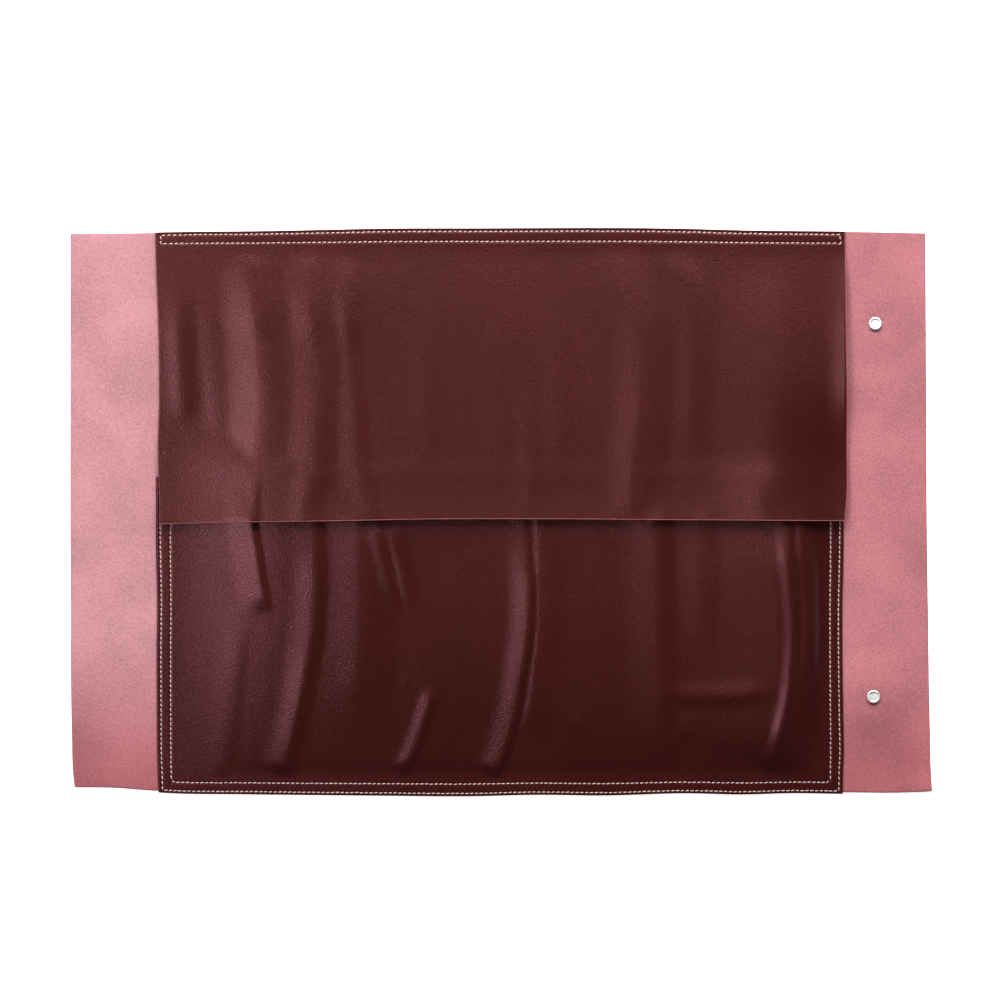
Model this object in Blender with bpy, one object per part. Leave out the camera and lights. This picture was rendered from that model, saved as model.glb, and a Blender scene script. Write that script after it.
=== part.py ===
"""Leather knife roll lying open, seen from above with its flap closed over the pocket.

Units are metres. X runs along the roll, Y up the sheet towards the flap's seam, Z up.
The underside of the back panel lies on Z = 0.
"""
import math

import bmesh
import bpy
import numpy as np

# Sheets
POCKET_WIDTH = 0.5493
STRIP_WIDTH = 0.0681
ROLL_DEPTH = 0.4470
POCKET_DEPTH = 0.2525
FLAP_DEPTH = 0.2315
BACK_THICKNESS = 0.0018
PANEL_THICKNESS = 0.0015
POCKET_OVERHANG = 0.0012
SEAM_WIDTH = 0.0110
EDGE_WANDER = 0.0040
EDGE_FADE = 0.0200

# Clearances
GAP = 0.0003
DRAPE_GAP = 0.0005

# How far the leather stands off the sheet under it
POCKET_BILLOW = 0.0068
FLAP_BILLOW = 0.0052
BILLOW_REACH = 0.0420
DRAPE_REACH = 0.0600
FLAP_SIDE_LIFT = 0.0058
FLAP_SIDE_REACH = 0.0340
DRAPED_SIDE_LIFT = 0.5
CORNER_CURL = 0.0060
CORNER_REACH = 0.0320

# Folds: a share of 1 in the tables stands for these
FOLD_HEIGHT = 0.0020
FOLD_SPREAD = 0.0120

# Press studs: socket and cap on the right strip, stud on the back of the roll
SNAP_FROM_POCKET = 0.0245
SNAP_FROM_TOP = 0.0737
SNAP_FROM_BOTTOM = 0.0750
ROLL_GIRTH = 0.1895
POST_DIAMETER = 0.0034
POST_END_DIAMETER = 0.0048
POST_END_THICKNESS = 0.0004
CAP_DIAMETER = 0.0125
CAP_HEIGHT = 0.0019
SOCKET_DIAMETER = 0.0105
SOCKET_HEIGHT = 0.0020
SOCKET_RECESS_DIAMETER = 0.0074
SOCKET_PLATE = 0.0006
STUD_FLANGE_DIAMETER = 0.0110
STUD_FLANGE_THICKNESS = 0.0008
STUD_BASE_DIAMETER = 0.0090
STUD_BASE_THICKNESS = 0.0010
NUB_DIAMETER = 0.0040
NUB_HEIGHT = 0.0022
SNAP_SEAT_RADIUS = 0.0125
SNAP_RISE_REACH = 0.0420
STUD_RISE_REACH = 0.0500

# Mesh density
COLUMN_STEP = 0.0072
ROW_STEP = 0.0185
BACK_STEP = 0.0260
TURN_SIDES = 14
PATH_STEPS = 20

ROLL_WIDTH = POCKET_WIDTH + 2 * STRIP_WIDTH
ROLL_TOP = ROLL_DEPTH / 2
ROLL_BOTTOM = -ROLL_DEPTH / 2
POCKET_LEFT = -POCKET_WIDTH / 2
POCKET_BOTTOM = ROLL_BOTTOM - POCKET_OVERHANG
POCKET_MOUTH = POCKET_BOTTOM + POCKET_DEPTH
FLAP_EDGE = ROLL_TOP - FLAP_DEPTH
SNAP_X = POCKET_WIDTH / 2 + SNAP_FROM_POCKET
STUD_X = SNAP_X - ROLL_GIRTH
SNAP_RISE = CAP_HEIGHT + GAP
STUD_RISE = STUD_BASE_THICKNESS + NUB_HEIGHT + GAP
HOLE_DIAMETER = POST_DIAMETER + 2 * GAP

# Edges: "at" is the share of the way along the edge, and the other columns are shares
# of EDGE_WANDER, towards +X on a side edge and towards +Y on a top or bottom edge.
BACK_SIDES = (
    # at, left, right
    (0.00, 0.44, 0.60),
    (0.03, 0.12, 0.48),
    (0.10, -0.10, 0.36),
    (0.18, -0.28, 0.16),
    (0.32, -0.32, -0.05),
    (0.45, -0.40, -0.25),
    (0.75, -0.40, -0.42),
    (1.00, -0.40, -0.60),
)
BACK_BOTTOM = (
    # at, lower edge
    (0.00, 0.56),
    (0.05, 0.44),
    (0.09, -0.08),
    (0.12, -0.36),
    (0.20, -0.54),
    (0.35, -0.80),
    (0.47, -0.92),
    (0.54, -0.65),
    (0.62, -0.78),
    (0.72, -0.35),
    (0.78, -0.58),
    (0.84, -0.33),
    (0.91, -0.48),
    (0.97, -0.50),
    (1.00, -0.15),
)
BACK_TOP = (
    # at, upper edge
    (0.00, -0.35),
    (0.08, -0.20),
    (0.14, 0.02),
    (0.21, 0.12),
    (0.28, 0.34),
    (0.37, 0.66),
    (0.47, 0.70),
    (0.70, 0.66),
    (0.79, 0.28),
    (0.91, 0.04),
    (1.00, -0.25),
)
POCKET_SIDES = (
    # at, left, right
    (0.00, 0.30, -0.15),
    (0.05, 0.16, -0.12),
    (0.13, 0.00, 0.06),
    (0.23, -0.04, -0.04),
    (0.45, -0.10, -0.22),
    (0.61, 0.00, -0.22),
    (0.75, -0.20, 0.00),
    (1.00, -0.24, 0.00),
)
FLAP_SIDES = (
    # at, left, right
    (0.00, 0.60, 0.18),
    (0.12, 0.42, 0.72),
    (0.24, 0.20, 0.64),
    (0.42, 0.42, 0.58),
    (0.57, 0.38, 0.50),
    (0.72, 0.16, 0.42),
    (0.82, -0.06, 0.48),
    (1.00, -0.38, 0.36),
)
FLAP_FRONT = (
    # at, lower edge
    (0.00, -0.70),
    (0.12, -0.30),
    (0.27, 0.00),
    (0.38, 0.30),
    (0.50, 0.40),
    (0.75, 0.20),
    (1.00, 0.00),
)

# Folds: the crest runs from (x0, y0) through (x1, y1) to (x2, y2), in shares of the
# sheet's width from its left edge and of its depth from its lower edge. Left and right
# are how far each flank falls, in shares of FOLD_SPREAD, seen along the crest from its
# upper end, and height is in shares of FOLD_HEIGHT, below zero for a valley.
POCKET_FOLDS = (
    # name, x0, y0, x1, y1, x2, y2, left, right, height
    ("first_crest", 0.165, 0.53, 0.145, 0.82, 0.129, 1.10, 1.5, 0.9, 0.90),
    ("second_crest", 0.177, 0.02, 0.228, 0.57, 0.231, 1.10, 1.6, 1.1, 1.00),
    ("low_left_crest", 0.092, 0.02, 0.111, 0.30, 0.134, 0.58, 1.4, 0.9, 0.70),
    ("faint_left_crest", 0.283, 0.12, 0.285, 0.50, 0.283, 0.90, 1.6, 1.4, 0.45),
    ("pinch_flanks", 0.374, 0.46, 0.352, 0.65, 0.326, 0.86, 1.7, 1.7, 0.70),
    ("pinch", 0.374, 0.46, 0.352, 0.65, 0.326, 0.86, 0.8, 0.8, -0.55),
    ("short_crest", 0.340, 0.01, 0.378, 0.19, 0.413, 0.39, 1.0, 0.8, 0.65),
    ("middle_crest", 0.475, 0.01, 0.535, 0.56, 0.537, 1.10, 1.7, 0.9, 1.30),
    ("middle_echo", 0.534, 0.20, 0.559, 0.60, 0.560, 1.10, 0.9, 1.6, 0.45),
    ("faint_right_crest", 0.707, 0.32, 0.707, 0.70, 0.700, 1.10, 1.6, 1.6, 0.40),
    ("right_crest", 0.860, 0.01, 0.924, 0.51, 0.904, 1.06, 2.8, 0.9, 1.20),
    ("right_echo", 0.930, 0.25, 0.955, 0.60, 0.945, 1.06, 0.9, 1.1, 0.40),
    ("stud_band", 0.700, 0.33, 0.810, 0.34, 0.920, 0.33, 1.5, 1.0, 0.80),
)
FLAP_FOLDS = (
    # name, x0, y0, x1, y1, x2, y2, left, right, height
    ("side_roll", 0.040, 0.25, 0.042, 0.56, 0.036, 0.88, 1.6, 1.2, 0.60),
    ("left_crest", 0.082, 0.10, 0.080, 0.50, 0.066, 0.92, 1.0, 1.2, 0.45),
    ("first_crest", 0.142, -0.10, 0.156, 0.45, 0.152, 0.97, 1.8, 1.5, 1.30),
    ("second_crest", 0.231, -0.10, 0.232, 0.45, 0.228, 0.92, 1.3, 1.0, 0.80),
    ("third_crest", 0.296, -0.05, 0.282, 0.45, 0.276, 0.92, 1.1, 0.8, 0.60),
    ("faint_crest", 0.384, 0.10, 0.386, 0.40, 0.384, 0.75, 1.3, 1.3, 0.22),
    ("middle_crest", 0.537, -0.10, 0.530, 0.30, 0.520, 0.65, 1.4, 1.2, 0.35),
    ("right_crest", 0.686, -0.08, 0.706, 0.50, 0.632, 0.97, 1.4, 1.4, 1.00),
    ("right_echo", 0.776, 0.20, 0.774, 0.60, 0.712, 0.96, 1.1, 1.1, 0.60),
    ("plateau_edge", 0.925, 0.10, 0.918, 0.50, 0.884, 0.90, 3.6, 1.1, 1.30),
    ("side_crest", 0.962, 0.20, 0.964, 0.55, 0.962, 0.88, 0.9, 1.0, 0.50),
)

# Press studs: "end" is the roll's end that the distance is taken from, +1 for the top,
# and "shift" moves both halves along X, in shares of EDGE_WANDER.
PRESS_STUDS = (
    # name, end, distance, shift
    ("upper", 1, SNAP_FROM_TOP, 0.17),
    ("lower", -1, SNAP_FROM_BOTTOM, -0.17),
)

# Finishes: base colour, roughness, metallic
SUEDE = ("suede", (0.60, 0.27, 0.30), 0.95, 0.0)
LEATHER = ("burgundy_leather", (0.075, 0.017, 0.016), 0.45, 0.0)
METAL = ("nickel", (0.80, 0.80, 0.79), 0.25, 1.0)


def clear_scene():
    for item in list(bpy.data.objects):
        bpy.data.objects.remove(item, do_unlink=True)


def finish(node, look):
    """Gives a node its own material."""
    kind, colour, roughness, metallic = look
    material = bpy.data.materials.new(f"{kind}_{node.name}")
    material.use_nodes = True
    shader = material.node_tree.nodes["Principled BSDF"]
    shader.inputs["Base Color"].default_value = (*colour, 1.0)
    shader.inputs["Roughness"].default_value = roughness
    shader.inputs["Metallic"].default_value = metallic
    node.data.materials.append(material)


def add_node(name, mesh, look):
    node = bpy.data.objects.new(name, mesh)
    bpy.context.collection.objects.link(node)
    finish(node, look)
    return node


def ease(share):
    """0 up to share 0 and 1 from share 1 on, with level ends."""
    share = np.clip(share, 0.0, 1.0)
    return share * share * (3.0 - 2.0 * share)


def along(table, at, column):
    """A table's column, read between its rows."""
    stations = [row[0] for row in table]
    values = [row[column] for row in table]
    return np.interp(at, stations, values)


def lines(stops, step):
    """Sorted grid lines through the stops, with the spans between them cut to about a step."""
    stops = sorted(set(round(stop, 7) for stop in stops))
    found = [stops[0]]
    for start, end in zip(stops, stops[1:]):
        count = max(1, round((end - start) / step))
        found += [start + (end - start) * (index + 1) / count for index in range(count)]
    return np.array(found)


def through(start, middle, end, share):
    """A value that goes through three others at shares 0, 0.5 and 1."""
    return (
        start * (1 - share) * (1 - 2 * share)
        + middle * 4 * share * (1 - share)
        + end * share * (2 * share - 1)
    )


def fold_height(fold, x, y, left_edge, lower_edge, width, depth):
    """Height of one fold over the points x, y: full on its crest, nothing past its flanks."""
    _, x0, y0, x1, y1, x2, y2, left, right, height = fold
    shares = np.linspace(0.0, 1.0, PATH_STEPS + 1)
    crest_x = left_edge + width * through(x0, x1, x2, shares)
    crest_y = lower_edge + depth * through(y0, y1, y2, shares)
    nearest = np.full(x.shape, np.inf)
    side = np.zeros(x.shape)
    reached = np.zeros(x.shape)
    for index in range(PATH_STEPS):
        run_x = crest_x[index + 1] - crest_x[index]
        run_y = crest_y[index + 1] - crest_y[index]
        from_x = x - crest_x[index]
        from_y = y - crest_y[index]
        part = np.clip((from_x * run_x + from_y * run_y) / (run_x ** 2 + run_y ** 2), 0.0, 1.0)
        distance = np.hypot(from_x - part * run_x, from_y - part * run_y)
        closer = distance < nearest
        nearest = np.where(closer, distance, nearest)
        side = np.where(closer, from_x * run_y - from_y * run_x, side)
        reached = np.where(closer, (index + part) / PATH_STEPS, reached)
    spread = np.where(side < 0, left, right) * FOLD_SPREAD
    flank = 0.5 + 0.5 * np.cos(math.pi * np.clip(nearest / spread, 0.0, 1.0))
    ends = ease(reached / 0.25) * ease((1 - reached) / 0.25)
    return height * FOLD_HEIGHT * flank * ends


def folds(table, x, y, lower_edge, depth):
    total = np.zeros(x.shape)
    for fold in table:
        total = total + fold_height(fold, x, y, POCKET_LEFT, lower_edge, POCKET_WIDTH, depth)
    return total


def press_stud_places():
    """Name, y, and the x of the visible socket and of the hidden stud."""
    for name, end, distance, shift in PRESS_STUDS:
        y = end * (ROLL_DEPTH / 2 - distance)
        offset = shift * EDGE_WANDER
        yield name, y, SNAP_X + offset, STUD_X + offset


def seat(x, y, seat_x, seat_y, reach, near_reach):
    """1 on a flat seat round a fastener, falling to 0 at its reach, which is shorter on the left."""
    run_x = x - seat_x
    run_y = y - seat_y
    radius = np.hypot(run_x, run_y)
    leftward = np.clip(-run_x / np.maximum(radius, GAP), 0.0, 1.0) ** 2
    end = reach + (near_reach - reach) * leftward
    return 1.0 - ease((radius - SNAP_SEAT_RADIUS) / (end - SNAP_SEAT_RADIUS))


def back_under(x, y):
    """Underside of the back panel: level, but raised over the fasteners and at one corner."""
    height = np.zeros(x.shape)
    for _, place_y, snap_x, stud_x in press_stud_places():
        near = max(snap_x - POCKET_WIDTH / 2, SNAP_SEAT_RADIUS + 2 * GAP)
        height = np.maximum(height, SNAP_RISE * seat(x, y, snap_x, place_y, SNAP_RISE_REACH, near))
        stud_seat = seat(x, y, stud_x, place_y, STUD_RISE_REACH, STUD_RISE_REACH)
        height = np.maximum(height, STUD_RISE * stud_seat)
    from_corner = np.hypot(ROLL_WIDTH / 2 - x, y - ROLL_BOTTOM)
    curl = CORNER_CURL * np.clip(1.0 - from_corner / CORNER_REACH, 0.0, 1.0) ** 2
    return height + curl


def back_top(x, y):
    return back_under(x, y) + BACK_THICKNESS


def pocket_under(x, y):
    """Underside of the pocket: on the back panel at the seams, billowing between them."""
    from_side = POCKET_WIDTH / 2 - SEAM_WIDTH - np.abs(x)
    from_bottom = y - POCKET_BOTTOM - SEAM_WIDTH
    billow = ease(from_side / BILLOW_REACH) * ease(from_bottom / BILLOW_REACH)
    creases = folds(POCKET_FOLDS, x, y, POCKET_BOTTOM, POCKET_DEPTH)
    return back_top(x, y) + GAP + billow * POCKET_BILLOW + np.sqrt(billow) * creases


def pocket_top(x, y):
    return pocket_under(x, y) + PANEL_THICKNESS


def flap_under(x, y):
    """Underside of the flap: on the back panel at its seam, over the pocket at its mouth."""
    from_seam = ROLL_TOP - SEAM_WIDTH - y
    from_side = POCKET_WIDTH / 2 - np.abs(x)
    hang = ease(from_seam / BILLOW_REACH)
    billow = hang * ease(from_side / BILLOW_REACH)
    creases = folds(FLAP_FOLDS, x, y, FLAP_EDGE, FLAP_DEPTH)
    right_edge = 1.0 - ease((POCKET_WIDTH / 2 - x) / FLAP_SIDE_REACH)
    side_lift = FLAP_SIDE_LIFT * right_edge * ease(from_seam / (2 * FLAP_SIDE_REACH))
    free = back_top(x, y) + GAP + billow * FLAP_BILLOW + np.sqrt(billow) * creases + side_lift
    over_pocket = pocket_top(x, np.minimum(y, POCKET_MOUTH)) + DRAPE_GAP
    draped = 1.0 - ease((y - POCKET_MOUTH - SEAM_WIDTH) / DRAPE_REACH)
    lifted = over_pocket + DRAPED_SIDE_LIFT * side_lift
    return np.maximum(free, back_top(x, y) + GAP) * (1 - draped) + lifted * draped


def edge_shift(near, table, at, column):
    """How far an edge's wander moves a point that lies near it."""
    return EDGE_WANDER * along(table, at, column) * (1.0 - ease(near / EDGE_FADE))


def sheet_points(columns, rows, sides, lower, upper):
    """Plan positions of a sheet's grid, pulled out to its wandering edges."""
    x, y = np.meshgrid(columns, rows)
    across = (x - columns[0]) / (columns[-1] - columns[0])
    up = (y - rows[0]) / (rows[-1] - rows[0])
    plan_x = (
        x
        + edge_shift(x - columns[0], sides, up, 1)
        + edge_shift(columns[-1] - x, sides, up, 2)
    )
    plan_y = (
        y
        + edge_shift(y - rows[0], *lower(x, across))
        + edge_shift(rows[-1] - y, *upper(x, across))
    )
    return plan_x, plan_y


def back_share(x):
    """Where a point lies along the back panel's long edges."""
    return (x + ROLL_WIDTH / 2) / ROLL_WIDTH


def add_sheet(name, plan, under, thickness, look):
    """A leather sheet: its underside as a triangle grid, extruded up by its thickness."""
    plan_x, plan_y = plan
    plan_z = under(plan_x, plan_y)
    row_count, column_count = plan_x.shape
    shape = bmesh.new()
    grid = [
        [
            shape.verts.new((plan_x[row, column], plan_y[row, column], plan_z[row, column]))
            for column in range(column_count)
        ]
        for row in range(row_count)
    ]
    for row in range(row_count - 1):
        for column in range(column_count - 1):
            low_left, low_right = grid[row][column], grid[row][column + 1]
            high_left, high_right = grid[row + 1][column], grid[row + 1][column + 1]
            shape.faces.new((low_left, low_right, high_right))
            shape.faces.new((low_left, high_right, high_left))
    raised = bmesh.ops.extrude_face_region(shape, geom=shape.faces[:])
    raised_points = [item for item in raised["geom"] if isinstance(item, bmesh.types.BMVert)]
    bmesh.ops.translate(shape, verts=raised_points, vec=(0.0, 0.0, thickness))
    bmesh.ops.recalc_face_normals(shape, faces=shape.faces[:])
    mesh = bpy.data.meshes.new(name)
    shape.to_mesh(mesh)
    shape.free()
    return add_node(name, mesh, look)


def add_turned(name, profile, x, y, look):
    """A round piece: a profile of (radius, height) turned about Z at (x, y)."""
    shape = bmesh.new()
    points = [shape.verts.new((radius, 0.0, height)) for radius, height in profile]
    closed = profile[0][0] > 0.0
    ends = points[1:] + points[:1] if closed else points[1:]
    sides = [shape.edges.new(pair) for pair in zip(points, ends)]
    bmesh.ops.spin(
        shape, geom=points + sides, cent=(0, 0, 0), axis=(0, 0, 1),
        angle=2 * math.pi, steps=TURN_SIDES, use_merge=True,
    )
    bmesh.ops.remove_doubles(shape, verts=shape.verts[:], dist=GAP / 10)
    bmesh.ops.recalc_face_normals(shape, faces=shape.faces[:])
    mesh = bpy.data.meshes.new(name)
    shape.to_mesh(mesh)
    shape.free()
    mesh.shade_smooth()
    mesh.set_sharp_from_angle(angle=math.radians(35))
    node = add_node(name, mesh, look)
    node.location = (x, y, 0.0)
    return node


def add_hole(panel, name, x, y, height):
    """A round hole through the back panel for a fastener's post."""
    shape = bmesh.new()
    bmesh.ops.create_cone(
        shape, cap_ends=True, segments=TURN_SIDES,
        radius1=HOLE_DIAMETER / 2, radius2=HOLE_DIAMETER / 2, depth=4 * BACK_THICKNESS,
    )
    mesh = bpy.data.meshes.new(name)
    shape.to_mesh(mesh)
    shape.free()
    cutter = bpy.data.objects.new(name, mesh)
    bpy.context.collection.objects.link(cutter)
    cutter.location = (x, y, height + BACK_THICKNESS / 2)
    cutter.hide_render = True
    cutter.display_type = "WIRE"
    cut = panel.modifiers.new(name, "BOOLEAN")
    cut.operation = "DIFFERENCE"
    cut.object = cutter


def cap_profile():
    """Domed cap below the leather, its post through it and the post's rolled end."""
    post = POST_DIAMETER / 2
    plate_top = SNAP_RISE + BACK_THICKNESS + GAP + SOCKET_PLATE
    end_low = plate_top + GAP
    end_top = end_low + POST_END_THICKNESS
    return (
        (0.0, 0.0),
        (CAP_DIAMETER * 0.26, 0.0),
        (CAP_DIAMETER * 0.46, CAP_HEIGHT * 0.40),
        (CAP_DIAMETER * 0.50, CAP_HEIGHT * 0.80),
        (CAP_DIAMETER * 0.47, CAP_HEIGHT),
        (post, CAP_HEIGHT),
        (post, end_low),
        (POST_END_DIAMETER / 2, end_low),
        (POST_END_DIAMETER / 2, end_top),
        (0.0, end_top),
    )


def socket_profile():
    """Ring on the leather with a rolled rim, a recess and a hole for the post."""
    low = SNAP_RISE + BACK_THICKNESS + GAP
    hole = POST_DIAMETER / 2 + GAP
    recess = SOCKET_RECESS_DIAMETER / 2
    outer = SOCKET_DIAMETER / 2
    rim = (outer + recess) / 2
    return (
        (hole, low),
        (outer - SOCKET_PLATE / 2, low),
        (outer, low + SOCKET_HEIGHT * 0.35),
        (outer, low + SOCKET_HEIGHT * 0.70),
        (rim, low + SOCKET_HEIGHT),
        (recess, low + SOCKET_HEIGHT * 0.80),
        (recess, low + SOCKET_PLATE),
        (hole, low + SOCKET_PLATE),
    )


def stud_profile():
    """Flange above the leather, shank through it, base and nub below it, as one piece."""
    shank = POST_DIAMETER / 2
    leather_top = STUD_RISE + BACK_THICKNESS
    base_top = NUB_HEIGHT + STUD_BASE_THICKNESS
    flange_low = leather_top + GAP
    flange_top = flange_low + STUD_FLANGE_THICKNESS
    return (
        (0.0, 0.0),
        (NUB_DIAMETER * 0.42, 0.0),
        (NUB_DIAMETER * 0.50, NUB_HEIGHT * 0.35),
        (NUB_DIAMETER * 0.44, NUB_HEIGHT),
        (STUD_BASE_DIAMETER / 2, NUB_HEIGHT),
        (STUD_BASE_DIAMETER / 2, base_top),
        (shank, base_top),
        (shank, flange_low),
        (STUD_FLANGE_DIAMETER / 2, flange_low),
        (STUD_FLANGE_DIAMETER / 2, flange_low + STUD_FLANGE_THICKNESS / 2),
        (STUD_FLANGE_DIAMETER * 0.38, flange_top),
        (0.0, flange_top),
    )


def back_lines():
    """Grid lines of the back panel: closer round the fasteners, whose seats stay flat."""
    half_seat = SNAP_SEAT_RADIUS / math.sqrt(2)
    columns = [-ROLL_WIDTH / 2, ROLL_WIDTH / 2, POCKET_LEFT, -POCKET_LEFT]
    rows = [ROLL_BOTTOM, ROLL_TOP, ROLL_BOTTOM + CORNER_REACH / 3]
    columns.append(ROLL_WIDTH / 2 - CORNER_REACH / 2)
    for _, y, snap_x, stud_x in press_stud_places():
        rows += [y - half_seat, y + half_seat, y - 2.2 * half_seat, y + 2.2 * half_seat]
        for x in (snap_x, stud_x):
            columns += [x - half_seat, x + half_seat]
        columns += [stud_x - STUD_RISE_REACH / 2, stud_x + STUD_RISE_REACH / 2]
    columns = [x for x in columns if abs(x) <= ROLL_WIDTH / 2]
    rows = [y for y in rows if abs(y) <= ROLL_TOP]
    return lines(columns, BACK_STEP), lines(rows, BACK_STEP)


def add_back_panel():
    columns, rows = back_lines()
    plan = sheet_points(
        columns, rows, BACK_SIDES,
        lambda x, across: (BACK_BOTTOM, across, 1),
        lambda x, across: (BACK_TOP, across, 1),
    )
    panel = add_sheet("back_panel", plan, back_under, BACK_THICKNESS, SUEDE)
    for name, y, snap_x, stud_x in press_stud_places():
        add_hole(panel, f"{name}_cap_hole", snap_x, y, SNAP_RISE)
        add_hole(panel, f"{name}_stud_hole", stud_x, y, STUD_RISE)


def panel_columns():
    inner = -POCKET_LEFT - SEAM_WIDTH
    return lines([POCKET_LEFT, -inner, inner, -POCKET_LEFT], COLUMN_STEP)


def panel_rows(start, end, seam):
    """Grid rows from start to end. The pocket and the flap have the same ones where they lap."""
    stops = [stop for stop in (seam, FLAP_EDGE, POCKET_MOUTH) if start < stop < end]
    return lines([start, end] + stops, ROW_STEP)


def add_pocket_panel():
    rows = panel_rows(POCKET_BOTTOM, POCKET_MOUTH, POCKET_BOTTOM + SEAM_WIDTH)
    plan = sheet_points(
        panel_columns(), rows, POCKET_SIDES,
        lambda x, across: (BACK_BOTTOM, back_share(x), 1),
        lambda x, across: (((0.0, 0.0), (1.0, 0.0)), across, 1),
    )
    add_sheet("pocket_panel", plan, pocket_under, PANEL_THICKNESS, LEATHER)


def add_flap():
    rows = panel_rows(FLAP_EDGE, ROLL_TOP, ROLL_TOP - SEAM_WIDTH)
    plan = sheet_points(
        panel_columns(), rows, FLAP_SIDES,
        lambda x, across: (FLAP_FRONT, across, 1),
        lambda x, across: (BACK_TOP, back_share(x), 1),
    )
    add_sheet("flap", plan, flap_under, PANEL_THICKNESS, LEATHER)


def add_press_studs():
    for name, y, snap_x, stud_x in press_stud_places():
        add_turned(f"snap_cap_{name}", cap_profile(), snap_x, y, METAL)
        add_turned(f"snap_socket_{name}", socket_profile(), snap_x, y, METAL)
        add_turned(f"snap_stud_{name}", stud_profile(), stud_x, y, METAL)


def centre_on_origin():
    """Moves the roll so that the middle of its outline in plan is at X = Y = 0."""
    back = bpy.data.objects["back_panel"].data.vertices
    pocket = bpy.data.objects["pocket_panel"].data.vertices
    flap = bpy.data.objects["flap"].data.vertices
    corners = [point.co for mesh in (back, pocket, flap) for point in mesh]
    middle_x = (max(co.x for co in corners) + min(co.x for co in corners)) / 2
    middle_y = (max(co.y for co in corners) + min(co.y for co in corners)) / 2
    for item in bpy.data.objects:
        item.location.x -= middle_x
        item.location.y -= middle_y


clear_scene()
add_back_panel()
add_pocket_panel()
add_flap()
add_press_studs()
centre_on_origin()
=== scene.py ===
import math

import bpy
import numpy as np
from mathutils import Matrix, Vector


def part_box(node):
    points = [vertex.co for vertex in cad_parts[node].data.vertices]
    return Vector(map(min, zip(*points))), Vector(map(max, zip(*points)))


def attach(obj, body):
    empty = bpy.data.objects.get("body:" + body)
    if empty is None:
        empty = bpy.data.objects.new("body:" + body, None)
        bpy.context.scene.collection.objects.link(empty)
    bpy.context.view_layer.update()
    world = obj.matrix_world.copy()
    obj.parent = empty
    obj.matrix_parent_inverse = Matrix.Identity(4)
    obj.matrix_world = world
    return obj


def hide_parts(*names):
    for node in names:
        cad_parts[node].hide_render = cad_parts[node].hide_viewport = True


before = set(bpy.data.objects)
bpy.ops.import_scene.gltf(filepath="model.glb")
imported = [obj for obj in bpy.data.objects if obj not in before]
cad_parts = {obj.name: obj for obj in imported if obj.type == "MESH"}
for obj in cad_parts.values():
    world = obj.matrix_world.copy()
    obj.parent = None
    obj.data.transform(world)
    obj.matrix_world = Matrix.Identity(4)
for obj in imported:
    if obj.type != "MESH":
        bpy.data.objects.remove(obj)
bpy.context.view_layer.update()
bpy.ops.object.select_all(action="DESELECT")

# Sizes of the roll in metres, the same as in the solids
roll = {
    "pocketWidth": 0.5493,
    "stripWidth": 0.0681,
    "rollDepth": 0.4470,
    "pocketDepth": 0.2525,
    "flapDepth": 0.2315,
    "backThick": 0.0018,
    "panelThick": 0.0015,
    "overhang": 0.0012,
    "seamWidth": 0.0110,
    "wander": 0.0040,
    "wanderFade": 0.0200,
    "gap": 0.0003,
    "drapeGap": 0.0006,
    "foldHeight": 0.0020,
    "foldSpread": 0.0120,
    "snapFromPocket": 0.0245,
    "snapFromTop": 0.0737,
    "snapFromBottom": 0.0750,
    "girth": 0.1895,
    "snapShift": 0.17,
}
rollWidth = roll["pocketWidth"] + 2 * roll["stripWidth"]
halfWidth = rollWidth / 2
halfPocket = roll["pocketWidth"] / 2
rollTop = roll["rollDepth"] / 2
pocketBottom = -rollTop - roll["overhang"]
pocketMouth = pocketBottom + roll["pocketDepth"]
flapFront = rollTop - roll["flapDepth"]
snapX = halfPocket + roll["snapFromPocket"]
studX = snapX - roll["girth"]
snapPlaces = {
    "upper": (rollTop - roll["snapFromTop"], roll["snapShift"] * roll["wander"]),
    "lower": (-rollTop + roll["snapFromBottom"], -roll["snapShift"] * roll["wander"]),
}

# The frame's middle, measured at the upper socket
socketLow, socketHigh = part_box("snap_socket_upper")
frameShift = (
    (socketLow.x + socketHigh.x) / 2 - snapX - snapPlaces["upper"][1],
    (socketLow.y + socketHigh.y) / 2 - snapPlaces["upper"][0],
)
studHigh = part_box("snap_stud_upper")[1]
print("frame loaded, shift", frameShift)

# Edge wander: share of the way along the edge, then shares of the wander
backSides = (
    (0.00, 0.44, 0.60), (0.03, 0.12, 0.48), (0.10, -0.10, 0.36), (0.18, -0.28, 0.16),
    (0.32, -0.32, -0.05), (0.45, -0.40, -0.25), (0.75, -0.40, -0.42), (1.00, -0.40, -0.60),
)
backBottom = (
    (0.00, 0.56), (0.05, 0.44), (0.09, -0.08), (0.12, -0.36), (0.20, -0.54), (0.35, -0.80),
    (0.47, -0.92), (0.54, -0.65), (0.62, -0.78), (0.72, -0.35), (0.78, -0.58), (0.84, -0.33),
    (0.91, -0.48), (0.97, -0.50), (1.00, -0.15),
)
backTop = (
    (0.00, -0.35), (0.08, -0.20), (0.14, 0.02), (0.21, 0.12), (0.28, 0.34), (0.37, 0.66),
    (0.47, 0.70), (0.70, 0.66), (0.79, 0.28), (0.91, 0.04), (1.00, -0.25),
)
pocketSides = (
    (0.00, 0.30, -0.15), (0.05, 0.16, -0.12), (0.13, 0.00, 0.06), (0.23, -0.04, -0.04),
    (0.45, -0.10, -0.22), (0.61, 0.00, -0.22), (0.75, -0.20, 0.00), (1.00, -0.24, 0.00),
)
flapSides = (
    (0.00, 0.60, 0.18), (0.12, 0.42, 0.72), (0.24, 0.20, 0.64), (0.42, 0.42, 0.58),
    (0.57, 0.38, 0.50), (0.72, 0.16, 0.42), (0.82, -0.06, 0.48), (1.00, -0.38, 0.36),
)
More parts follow.
